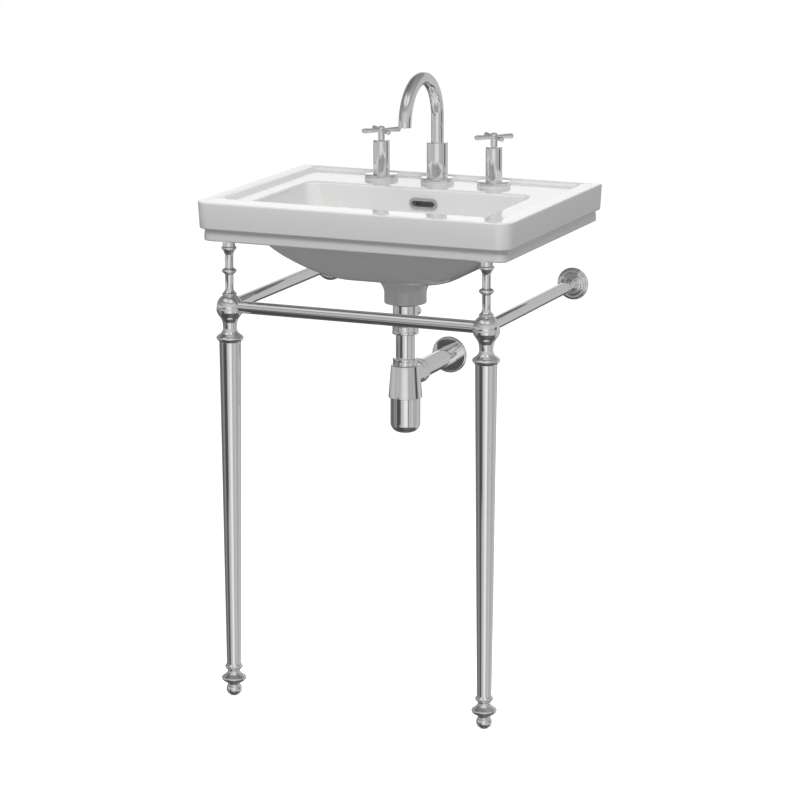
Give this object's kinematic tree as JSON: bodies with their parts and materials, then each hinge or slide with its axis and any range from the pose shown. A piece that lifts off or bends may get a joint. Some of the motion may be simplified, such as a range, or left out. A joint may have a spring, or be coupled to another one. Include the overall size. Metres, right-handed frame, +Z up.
{
  "type": "console sink with legs",
  "caption": "Rectangular wall-fixed basin on turned tapered chrome legs joined by rails, with cross-handle taps, swan-neck spout and bottle trap.",
  "frame": {"origin": "on the floor, under the centre of the basin's footprint (half-way across its width, half-way from its front edge to the wall)", "axes": "+X to the right as the user faces the basin, +Y towards the wall, +Z up"},
  "size_m": [0.56, 0.444, 1.047],
  "materials": {
    "glaze": "white glazed vitreous china, glossy",
    "chrome": "polished chrome plate on brass",
    "brass": "plain machined brass",
    "steel": "zinc-plated steel",
    "rubber": "black rubber",
    "plastic": "dark grey moulded plastic"
  },
  "bodies": {
    "sink": {"basin": "glaze", "overflow_ring": "chrome", "waste_body": "chrome", "waste_seals": "rubber", "waste_tail": "chrome", "waste_port_nut": "chrome", "plug_guide": "chrome", "trap_inlet_nut": "chrome", "trap_inlet_pipe": "chrome", "trap_top_nut": "chrome", "trap_body": "chrome", "trap_bottle": "chrome", "trap_seals": "rubber", "trap_outlet_nut": "chrome", "trap_outlet_pipe": "chrome", "trap_rosette": "chrome", "hot_flange": "chrome", "cold_flange": "chrome", "spout_flange": "chrome", "tap_gaskets": "rubber", "tap_washers": "rubber", "tap_backnuts": "brass", "hot_valve": "brass", "cold_valve": "brass", "hot_body": "chrome", "cold_body": "chrome", "tap_cartridges": "brass", "link_pipes": "chrome", "link_nuts": "brass", "spout_base": "chrome", "spout_shank": "brass", "leg_pads": "rubber", "left_spindle": "chrome", "right_spindle": "chrome", "left_ball": "chrome", "right_ball": "chrome", "left_capital": "chrome", "right_capital": "chrome", "left_leg_tube": "chrome", "right_leg_tube": "chrome", "left_foot": "chrome", "right_foot": "chrome", "leg_tie_rods": "steel", "front_rail": "chrome", "left_rail": "chrome", "right_rail": "chrome", "left_wall_flange": "chrome", "right_wall_flange": "chrome", "wall_plates": "steel"},
    "hot_control": {"hot_handle": "chrome", "hot_stem": "brass", "hot_cap": "chrome"},
    "cold_control": {"cold_handle": "chrome", "cold_stem": "brass", "cold_cap": "chrome"},
    "spout": {"spout_tube": "chrome", "spout_rings": "rubber", "spout_aerator": "plastic"},
    "plug": {"waste_plug": "chrome", "plug_seal": "rubber"}
  },
  "joints": [
    {"name": "hot_turn", "type": "hinge", "parent": "sink", "child": "hot_control", "pos_m": [-0.1045, 0.162, 0.933], "axis": [0, 0, 1], "range_deg": [0, 90]},
    {"name": "cold_turn", "type": "hinge", "parent": "sink", "child": "cold_control", "pos_m": [0.1045, 0.162, 0.933], "axis": [0, 0, 1], "range_deg": [-90, 0]},
    {"name": "spout_swivel", "type": "hinge", "parent": "sink", "child": "spout", "pos_m": [0, 0.162, 0.9], "axis": [0, 0, 1], "range_deg": [-60, 60]},
    {"name": "plug_lift", "type": "slide", "parent": "sink", "child": "plug", "axis": [0, 0, 1], "range_m": [0, 0.008]}
  ]
}
